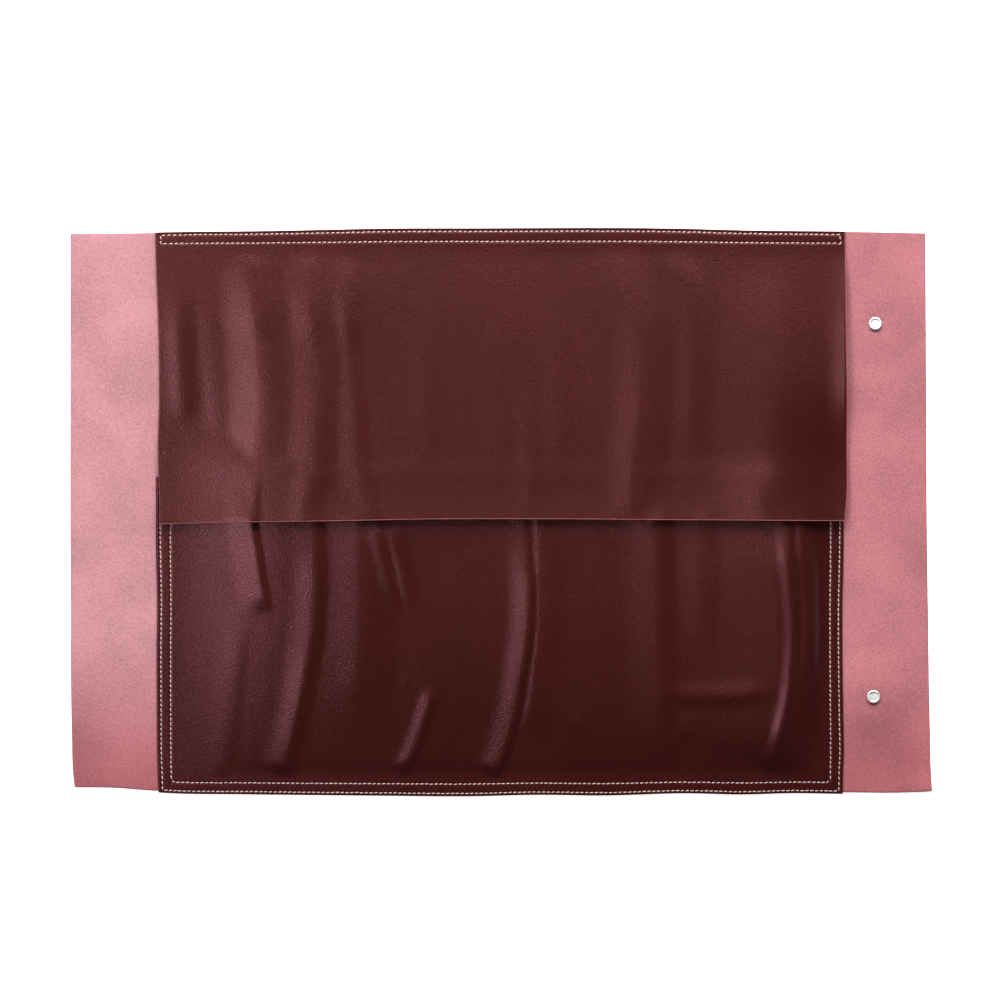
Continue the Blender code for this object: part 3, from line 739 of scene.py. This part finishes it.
def turnPiece(name, kind, node):
    low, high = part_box(node)
    axisX, axisY = (low.x + high.x) / 2, (low.y + high.y) / 2
    outline = [(radius / 1000, low.z + height / 1000) for radius, height in snapShapes[kind]]
    bpy.ops.object.select_all(action="DESELECT")
    bpy.ops.mesh.primitive_circle_add(
        vertices=snapShapes["sides"], radius=outline[0][0], fill_type="NOTHING",
        location=(axisX, axisY, outline[0][1]),
    )
    piece = bpy.context.object
    piece.name = name
    bpy.ops.object.transform_apply(location=True, rotation=True, scale=True)
    bpy.ops.object.mode_set(mode="EDIT")
    bpy.ops.mesh.select_mode(type="EDGE")
    bpy.ops.mesh.select_all(action="SELECT")
    for (radius, height), (nextRadius, nextHeight) in zip(outline, outline[1:]):
        bpy.ops.mesh.extrude_region_move(TRANSFORM_OT_translate={"value": (0.0, 0.0, nextHeight - height)})
        grow = nextRadius / radius
        bpy.ops.transform.resize(value=(grow, grow, 1.0), center_override=(axisX, axisY, nextHeight))
    bpy.ops.mesh.select_all(action="DESELECT")
    bpy.ops.mesh.select_non_manifold()
    if kind == "socket":
        bpy.ops.mesh.bridge_edge_loops()
    else:
        bpy.ops.mesh.fill_holes(sides=0)
    bpy.ops.mesh.select_all(action="SELECT")
    bpy.ops.mesh.normals_make_consistent(inside=False)
    bpy.ops.object.mode_set(mode="OBJECT")
    bpy.ops.object.shade_smooth_by_angle(angle=math.radians(snapShapes["smoothBelow"]))
    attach(piece, "root")
    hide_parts(node)
    return piece


# Shader building blocks
def addNode(tree, kind, **settings):
    node = tree.nodes.new(kind)
    for key, value in settings.items():
        setattr(node, key, value)
    return node


def feed(tree, node, **values):  # sets or links inputs by name, with _ for a space
    for key, value in values.items():
        socket = node.inputs[key.replace("_", " ")]
        if isinstance(value, bpy.types.NodeSocket):
            tree.links.new(value, socket)
        else:
            socket.default_value = value
    return node


def rampBetween(tree, factor, start, end, startColour, endColour):
    ramp = addNode(tree, "ShaderNodeValToRGB")
    tree.links.new(factor, ramp.inputs["Fac"])
    ramp.color_ramp.elements[0].position = start
    ramp.color_ramp.elements[1].position = end
    ramp.color_ramp.elements[0].color = (*startColour, 1.0)
    ramp.color_ramp.elements[1].color = (*endColour, 1.0)
    return ramp.outputs["Color"]


def newGroup(name, inputs, outputs):
    group = bpy.data.node_groups.new(name, "ShaderNodeTree")
    for label, kind, value in inputs:
        socket = group.interface.new_socket(name=label, in_out="INPUT", socket_type=kind)
        if value is not None:
            socket.default_value = value
    for label, kind in outputs:
        group.interface.new_socket(name=label, in_out="OUTPUT", socket_type=kind)
    return group, group.nodes.new("NodeGroupInput"), group.nodes.new("NodeGroupOutput")


pebbles = {
    "warpScale": 260.0,
    "warpReach": 0.0014,
    "creaseWidth": 0.16,
    "creaseDepth": 0.6,
    "fineScale": 2600.0,
    "fineWeight": 0.45,
    "waveScale": 430.0,
    "waveWeight": 1.8,
}


def buildGrainGroup():  # small round pebbles with fine creases between them, and a faint waviness
    group, entry, leave = newGroup(
        "leatherGrain",
        [("Vector", "NodeSocketVector", None), ("Pebble Scale", "NodeSocketFloat", 900.0)],
        [("Height", "NodeSocketFloat")],
    )
    at = entry.outputs["Vector"]
    warp = addNode(group, "ShaderNodeTexNoise")
    feed(group, warp, Vector=at, Scale=pebbles["warpScale"], Detail=2.0, Roughness=0.5)
    spread = addNode(group, "ShaderNodeVectorMath", operation="MULTIPLY_ADD")
    group.links.new(warp.outputs["Color"], spread.inputs[0])
    spread.inputs[1].default_value = (pebbles["warpReach"],) * 3
    group.links.new(at, spread.inputs[2])
    cells = addNode(group, "ShaderNodeTexVoronoi", feature="DISTANCE_TO_EDGE")
    feed(group, cells, Vector=spread.outputs["Vector"], Scale=entry.outputs["Pebble Scale"], Randomness=1.0)
    crease = addNode(group, "ShaderNodeMapRange", interpolation_type="SMOOTHSTEP")
    group.links.new(cells.outputs["Distance"], crease.inputs["Value"])
    crease.inputs["From Max"].default_value = pebbles["creaseWidth"]
    deep = addNode(group, "ShaderNodeMath", operation="MULTIPLY")
    group.links.new(crease.outputs["Result"], deep.inputs[0])
    deep.inputs[1].default_value = pebbles["creaseDepth"]
    fine = addNode(group, "ShaderNodeTexNoise")
    feed(group, fine, Vector=at, Scale=pebbles["fineScale"], Detail=3.0, Roughness=0.6)
    waves = addNode(group, "ShaderNodeTexNoise")
    feed(group, waves, Vector=at, Scale=pebbles["waveScale"], Detail=2.0, Roughness=0.55)
    grained = addNode(group, "ShaderNodeMath", operation="MULTIPLY_ADD")
    group.links.new(fine.outputs["Fac"], grained.inputs[0])
    grained.inputs[1].default_value = pebbles["fineWeight"]
    group.links.new(deep.outputs["Value"], grained.inputs[2])
    total = addNode(group, "ShaderNodeMath", operation="MULTIPLY_ADD")
    group.links.new(waves.outputs["Fac"], total.inputs[0])
    total.inputs[1].default_value = pebbles["waveWeight"]
    group.links.new(grained.outputs["Value"], total.inputs[2])
    group.links.new(total.outputs["Value"], leave.inputs["Height"])
    return group


def buildMottleGroup():  # cloudy patches over two sizes
    group, entry, leave = newGroup(
        "cloudyMottle",
        [("Vector", "NodeSocketVector", None), ("Patch Scale", "NodeSocketFloat", 12.0),
         ("Speck Scale", "NodeSocketFloat", 300.0), ("Speck Share", "NodeSocketFloat", 0.4)],
        [("Mask", "NodeSocketFloat")],
    )
    patches = addNode(group, "ShaderNodeTexNoise")
    feed(group, patches, Vector=entry.outputs["Vector"], Scale=entry.outputs["Patch Scale"], Detail=4.0)
    specks = addNode(group, "ShaderNodeTexNoise")
    feed(group, specks, Vector=entry.outputs["Vector"], Scale=entry.outputs["Speck Scale"], Detail=3.0)
    blend = addNode(group, "ShaderNodeMix", data_type="FLOAT")
    group.links.new(entry.outputs["Speck Share"], blend.inputs["Factor"])
    group.links.new(patches.outputs["Fac"], blend.inputs[2])
    group.links.new(specks.outputs["Fac"], blend.inputs[3])
    group.links.new(blend.outputs[0], leave.inputs["Mask"])
    return group


def newMaterial(name, **values):
    material = bpy.data.materials.new(name)
    material.use_nodes = True
    tree = material.node_tree
    shader = tree.nodes["Principled BSDF"]
    for key, value in values.items():
        shader.inputs[key.replace("_", " ")].default_value = value
    place = addNode(tree, "ShaderNodeTexCoord").outputs["Object"]
    return material, tree, shader, place


def useGroup(tree, group, **values):
    node = addNode(tree, "ShaderNodeGroup", node_tree=group)
    return feed(tree, node, **values)


def useMottle(tree, place, settings):
    mottle = useGroup(
        tree, mottleGroup, Vector=place, Patch_Scale=settings["patchScale"],
        Speck_Scale=settings["speckScale"], Speck_Share=settings["speckShare"],
    )
    return mottle.outputs["Mask"]


def addRange(tree, value, span, result):
    node = addNode(tree, "ShaderNodeMapRange")
    feed(tree, node, Value=value, From_Min=span[0], From_Max=span[1], To_Min=result[0], To_Max=result[1])
    return node.outputs["Result"]


def addBump(tree, shader, height, strength, distance):
    bump = addNode(tree, "ShaderNodeBump")
    feed(tree, bump, Height=height, Strength=strength, Distance=distance)
    tree.links.new(bump.outputs["Normal"], shader.inputs["Normal"])


burgundy = {
    "dark": (0.0220, 0.0032, 0.0026),
    "light": (0.0285, 0.0041, 0.0034),
    "gloss": (0.23, 0.29),
    "glossTint": (1.0, 0.41, 0.46, 1.0),
    "specular": 0.42,
    "patchScale": 9.0,
    "speckScale": 500.0,
    "speckShare": 0.45,
    "toneSpan": (0.35, 0.65),
    "glossSpan": (0.3, 0.7),
    "pebbleScale": 560.0,
    "grainBump": (0.6, 0.00010),  # strength and depth
}


def burgundyLeather():
    material, tree, shader, place = newMaterial(
        "burgundyLeather", Specular_IOR_Level=burgundy["specular"], Specular_Tint=burgundy["glossTint"],
    )
    mottle = useMottle(tree, place, burgundy)
    colour = rampBetween(tree, mottle, *burgundy["toneSpan"], burgundy["dark"], burgundy["light"])
    tree.links.new(colour, shader.inputs["Base Color"])
    grain = useGroup(tree, grainGroup, Vector=place, Pebble_Scale=burgundy["pebbleScale"])
    gloss = addRange(tree, mottle, burgundy["glossSpan"], burgundy["gloss"])
    tree.links.new(gloss, shader.inputs["Roughness"])
    addBump(tree, shader, grain.outputs["Height"], *burgundy["grainBump"])
    return material


suede = {
    # Two suede tones: the paler one holds painted sheen, laid towards the top and left, and the deeper one
    # holds painted shade, laid towards the bottom and right
    "paleWithSheen": (0.368, 0.168, 0.186),
    "deep": (0.286, 0.083, 0.094),
    "shadeToSheenSpan": (-0.23, -0.09),  # along Y, from the deep tone with painted shade to the pale one with painted sheen
    "leftSheenSpan": (-0.3, 0.3),  # along X, over which the painted sheen fades from left to right
    "sheenFromLeft": (1.0, 0.32),
    # Painted shade: the top is darkened along Y, to offset the key light's falloff
    "topPaintedShadeSpan": (-0.08, 0.22),
    "topPaintedShade": (1.0, 0.88),
    "napSpan": (0.40, 0.60),
    "napShade": (0.72, 1.17),
    "napTurn": 38.0,  # degrees
    "napStretch": (560.0, 780.0, 660.0),
    "napBump": (0.5, 0.00025),
    "patchScale": 14.0,
    "speckScale": 1500.0,
    "speckShare": 0.3,
    "mottleShare": 0.5,
}


def suedeLeather():
    material, tree, shader, place = newMaterial(
        "suedeLeather", Roughness=0.92, Specular_IOR_Level=0.18, Sheen_Weight=0.25, Sheen_Roughness=0.45,
    )
    turned = addNode(tree, "ShaderNodeMapping")
    turn = (0.0, 0.0, math.radians(suede["napTurn"]))
    feed(tree, turned, Vector=place, Rotation=turn, Scale=suede["napStretch"])
    nap = addNode(tree, "ShaderNodeTexNoise")
    feed(tree, nap, Vector=turned.outputs["Vector"], Scale=1.0, Detail=4.0, Roughness=0.6)
    blend = addNode(tree, "ShaderNodeMix", data_type="FLOAT")
    blend.inputs["Factor"].default_value = suede["mottleShare"]
    tree.links.new(nap.outputs["Fac"], blend.inputs[2])
    tree.links.new(useMottle(tree, place, suede), blend.inputs[3])
    across = addNode(tree, "ShaderNodeSeparateXYZ")
    tree.links.new(place, across.inputs["Vector"])
    # Painted sheen and shade: the tone is paler towards the top and left and deeper towards the bottom and
    # right
    sheenUpward = addNode(tree, "ShaderNodeMapRange", interpolation_type="SMOOTHSTEP")
    feed(tree, sheenUpward, Value=across.outputs["Y"], From_Min=suede["shadeToSheenSpan"][0], From_Max=suede["shadeToSheenSpan"][1])
    leftward = addRange(tree, across.outputs["X"], suede["leftSheenSpan"], suede["sheenFromLeft"])
    paintedSheen = addNode(tree, "ShaderNodeMath", operation="MULTIPLY")
    tree.links.new(sheenUpward.outputs["Result"], paintedSheen.inputs[0])
    tree.links.new(leftward, paintedSheen.inputs[1])
    sheenShadeTone = rampBetween(tree, paintedSheen.outputs["Value"], 0.0, 1.0, suede["deep"], suede["paleWithSheen"])
    shade = addRange(tree, blend.outputs[0], suede["napSpan"], suede["napShade"])
    # Painted shade: darker towards the top, to offset the key light's falloff; multiplied with the nap's
    # random tone
    paintedTopShading = addRange(tree, across.outputs["Y"], suede["topPaintedShadeSpan"], suede["topPaintedShade"])
    napAndPaintedShade = addNode(tree, "ShaderNodeMath", operation="MULTIPLY")
    tree.links.new(shade, napAndPaintedShade.inputs[0])
    tree.links.new(paintedTopShading, napAndPaintedShade.inputs[1])
    colour = addNode(tree, "ShaderNodeVectorMath", operation="SCALE")
    tree.links.new(sheenShadeTone, colour.inputs["Vector"])
    tree.links.new(napAndPaintedShade.outputs["Value"], colour.inputs["Scale"])
    tree.links.new(colour.outputs["Vector"], shader.inputs["Base Color"])
    addBump(tree, shader, nap.outputs["Fac"], *suede["napBump"])
    return material


cutEdge = {
    "dark": (0.17, 0.036, 0.040),
    "light": (0.33, 0.086, 0.098),
    "layerScale": (500.0, 500.0, 4200.0),
    "toneSpan": (0.3, 0.7),
    "bump": (0.6, 0.0002),
}


def rawEdge():  # the fibrous cut through the leather
    material, tree, shader, place = newMaterial("rawEdge", Roughness=0.85, Specular_IOR_Level=0.25)
    layers = addNode(tree, "ShaderNodeMapping")
    feed(tree, layers, Vector=place, Scale=cutEdge["layerScale"])
    fibres = addNode(tree, "ShaderNodeTexNoise")
    feed(tree, fibres, Vector=layers.outputs["Vector"], Scale=1.0, Detail=4.0, Roughness=0.65)
    colour = rampBetween(
        tree, fibres.outputs["Fac"], *cutEdge["toneSpan"], cutEdge["dark"], cutEdge["light"],
    )
    tree.links.new(colour, shader.inputs["Base Color"])
    addBump(tree, shader, fibres.outputs["Fac"], *cutEdge["bump"])
    return material


thread = {
    "dark": (0.40, 0.27, 0.255),
    "light": (0.62, 0.46, 0.43),
    "plyScale": 620.0,
    "toneSpan": (0.1, 0.9),
    "bump": (0.7, 0.00012),
}


def waxedThread():
    material, tree, shader, place = newMaterial(
        "waxedThread", Roughness=0.62, Specular_IOR_Level=0.35, Sheen_Weight=0.15,
    )
    ply = addNode(tree, "ShaderNodeTexWave", wave_type="BANDS", bands_direction="DIAGONAL")
    feed(tree, ply, Vector=place, Scale=thread["plyScale"], Distortion=1.2, Detail=2.0)
    colour = rampBetween(tree, ply.outputs["Fac"], *thread["toneSpan"], thread["dark"], thread["light"])
    tree.links.new(colour, shader.inputs["Base Color"])
    addBump(tree, shader, ply.outputs["Fac"], *thread["bump"])
    return material


nickel = {
    "colour": (0.61, 0.59, 0.585, 1.0),
    "metallic": 0.45,
    "gloss": (0.40, 0.50),
    "glossSpan": (0.3, 0.7),
    "patchScale": 500.0,
    "speckScale": 4200.0,
    "speckShare": 0.6,
}


def nickelPlate():
    material, tree, shader, place = newMaterial(
        "nickelPlate", Metallic=nickel["metallic"], Base_Color=nickel["colour"],
    )
    gloss = addRange(tree, useMottle(tree, place, nickel), nickel["glossSpan"], nickel["gloss"])
    tree.links.new(gloss, shader.inputs["Roughness"])
    return material


grainGroup = buildGrainGroup()
mottleGroup = buildMottleGroup()
leatherFinish = burgundyLeather()
suedeFinish = suedeLeather()
edgeFinish = rawEdge()
threadFinish = waxedThread()
metalFinish = nickelPlate()
print("finishes built")


def dress(piece, *materials):  # top or whole, underside, cut edge
    for material in materials:
        piece.data.materials.append(material)


# Grid steps of the sheets, finer along the seams and around the sockets
weave = {
    "step": 0.0013,
    "rowStep": 0.0034,
    "backStep": 0.0046,
    "seamStep": 0.00055,
    "seamReach": 0.0126,
    "dishAround": 0.0110,
    "dishStep": 0.0013,
}

backPiece = {"roundOff": 1.0, "grooved": "under", "bareFront": 0.0004, "bareRight": 0.0005}
pocketPiece = {"roundOff": 1.0, "grooved": "top", "bareFront": 0.0, "bareRight": 0.0}
flapPiece = {"roundOff": 0.3, "grooved": "top", "bareFront": 0.0004, "bareRight": 0.0004}


def endZones(start, end):
    reach, fine = weave["seamReach"], weave["seamStep"]
    return [(start + brink["inner"], start + reach, fine), (end - reach, end - brink["inner"], fine)]


pocketColumns = gridLines(-halfPocket, halfPocket, weave["step"], endZones(-halfPocket, halfPocket))
pocketRows = gridLines(
    pocketBottom, pocketMouth, weave["rowStep"], endZones(pocketBottom, pocketMouth)[:1],
)
flapRows = gridLines(flapFront, rollTop, weave["rowStep"], endZones(flapFront, rollTop)[1:])
around, dishStep = weave["dishAround"], weave["dishStep"]
backColumns = gridLines(-halfWidth, halfWidth, weave["backStep"], [
    *endZones(-halfPocket, halfPocket), (snapX - around, snapX + around, dishStep),
])
frontZone, seamZone = endZones(-rollTop, rollTop)
dishZones = [
    (snapPlaces[place][0] - around, snapPlaces[place][0] + around, dishStep)
    for place in ("lower", "upper")
]
backRows = gridLines(-rollTop, rollTop, weave["backStep"], [frontZone, *dishZones, seamZone])

backPanel = buildSheet(
    "backPanel", plans["back"], backUnder, backOver, backColumns, backRows, backGroove, backPiece,
)
dress(backPanel, suedeFinish, leatherFinish, edgeFinish)
print("back panel laid")

pocketPanel = buildSheet(
    "pocketPanel", plans["pocket"], pocketUnder, pocketOver, pocketColumns, pocketRows, pocketGroove,
    pocketPiece,
)
dress(pocketPanel, leatherFinish, suedeFinish, edgeFinish)
print("pocket laid")

flap = buildSheet(
    "flapPanel", plans["flap"], flapUnder, flapOver, pocketColumns, flapRows, flapGroove, flapPiece,
)
dress(flap, leatherFinish, suedeFinish, edgeFinish)
print("flap laid")

pocketOuter, pocketInner = pocketRow(seams["pocketOuter"]), pocketRow(seams["pocketInner"])
rows = {
    "pocketOuterStitches": (plans["pocket"], pocketOuter, seams["pocketPitch"], pocketOver, 1.0),
    "pocketInnerStitches": (plans["pocket"], pocketInner, seams["pocketPitch"], pocketOver, 1.0),
    "flapStitches": (plans["flap"], flapRow(), seams["flapPitch"], flapOver, 1.0),
    "pocketOuterUnderStitches": (plans["pocket"], pocketOuter, seams["pocketPitch"], backUnder, -1.0),
    "pocketInnerUnderStitches": (plans["pocket"], pocketInner, seams["pocketPitch"], backUnder, -1.0),
    "flapUnderStitches": (plans["flap"], flapRow(), seams["flapPitch"], backUnder, -1.0),
}
stitchRows = {}
for name, (plan, path, pitch, height, facing) in rows.items():
    stitchRows[name] = sewRow(name, plan, path, pitch, height, facing)
    dress(stitchRows[name], threadFinish)
print("rows sewn")

for piece, node, slot in (
    (backPanel, "back_panel", "suede_leather"),
    (pocketPanel, "pocket_panel", "burgundy_leather"),
    (flap, "flap", "burgundy_leather"),
):
    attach(piece, "root")
    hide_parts(node)
for row in stitchRows.values():
    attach(row, "root")
for place in snapPlaces:
    for kind in ("socket", "cap", "stud"):
        name = f"{kind}{place.capitalize()}"
        dress(turnPiece(name, kind, f"snap_{kind}_{place}"), metalFinish)
print("press studs turned")

# Studio: floor, lights and camera
studio = {
    "floorSize": 8.0,
    "floorDrop": 0.0002,
    "floorColour": (0.93, 0.93, 0.93, 1.0),
    "floorRoughness": 0.9,
    "floorGlow": 0.7,
    "worldStrength": 0.08,
    "key": {"at": (0.05, 1.40, 1.00), "size": (2.2, 1.2), "power": 109.0},
    "gloss": {"at": (-1.35, 0.15, 2.30), "size": (0.9, 0.6), "power": 25.0},
    "rightGloss": {
        "at": (-0.45, 0.15, 2.30), "aim": (0.26, 0.0, 0.0), "size": (0.3, 0.5),
        "power": 0.0430, "spread": 8.0,  # degrees
    },
    "frontGloss": {
        "at": (0.05, 0.66, 2.30), "aim": (0.05, 0.05, 0.0), "size": (1.4, 0.3),
        "power": 0.0450, "spread": 24.0,
    },
    "cameraHeight": 2.404,
    "lens": 108.0,
    "sensor": 36.0,
    "cameraAt": (-0.00064, 0.00976),
}

bpy.ops.object.select_all(action="DESELECT")
bpy.ops.mesh.primitive_plane_add(size=studio["floorSize"], location=(0.0, 0.0, -studio["floorDrop"]))
floor = bpy.context.object
floor.name = "studioFloor"
floorFinish = newMaterial(
    "paleFloor", Roughness=studio["floorRoughness"], Base_Color=studio["floorColour"],
    Emission_Color=(1.0, 1.0, 1.0, 1.0), Emission_Strength=studio["floorGlow"],
)[0]
dress(floor, floorFinish)


def addSoftbox(name, settings):
    light = bpy.data.lights.new(name, "AREA")
    light.shape = "RECTANGLE"
    light.size, light.size_y = settings["size"]
    light.energy = settings["power"]
    light.spread = math.radians(settings.get("spread", 180.0))
    box = bpy.data.objects.new(name, light)
    bpy.context.collection.objects.link(box)
    box.location = settings["at"]
    away = box.location - Vector(settings.get("aim", (0.0, 0.0, 0.0)))
    box.rotation_euler = away.to_track_quat("Z", "Y").to_euler()


for name in ("key", "gloss", "rightGloss", "frontGloss"):
    addSoftbox(f"{name}Softbox", studio[name])
world = bpy.data.worlds.new("studioWorld")
world.use_nodes = True
world.node_tree.nodes["Background"].inputs["Color"].default_value = (1.0, 1.0, 1.0, 1.0)
world.node_tree.nodes["Background"].inputs["Strength"].default_value = studio["worldStrength"]
bpy.context.scene.world = world
bpy.context.scene.view_settings.view_transform = "Standard"

cameraData = bpy.data.cameras.new("camera")
cameraData.lens = studio["lens"]
cameraData.sensor_width = studio["sensor"]
camera = bpy.data.objects.new("camera", cameraData)
bpy.context.collection.objects.link(camera)
camera.location = (*studio["cameraAt"], studio["cameraHeight"])
bpy.context.scene.camera = camera
print("studio set")
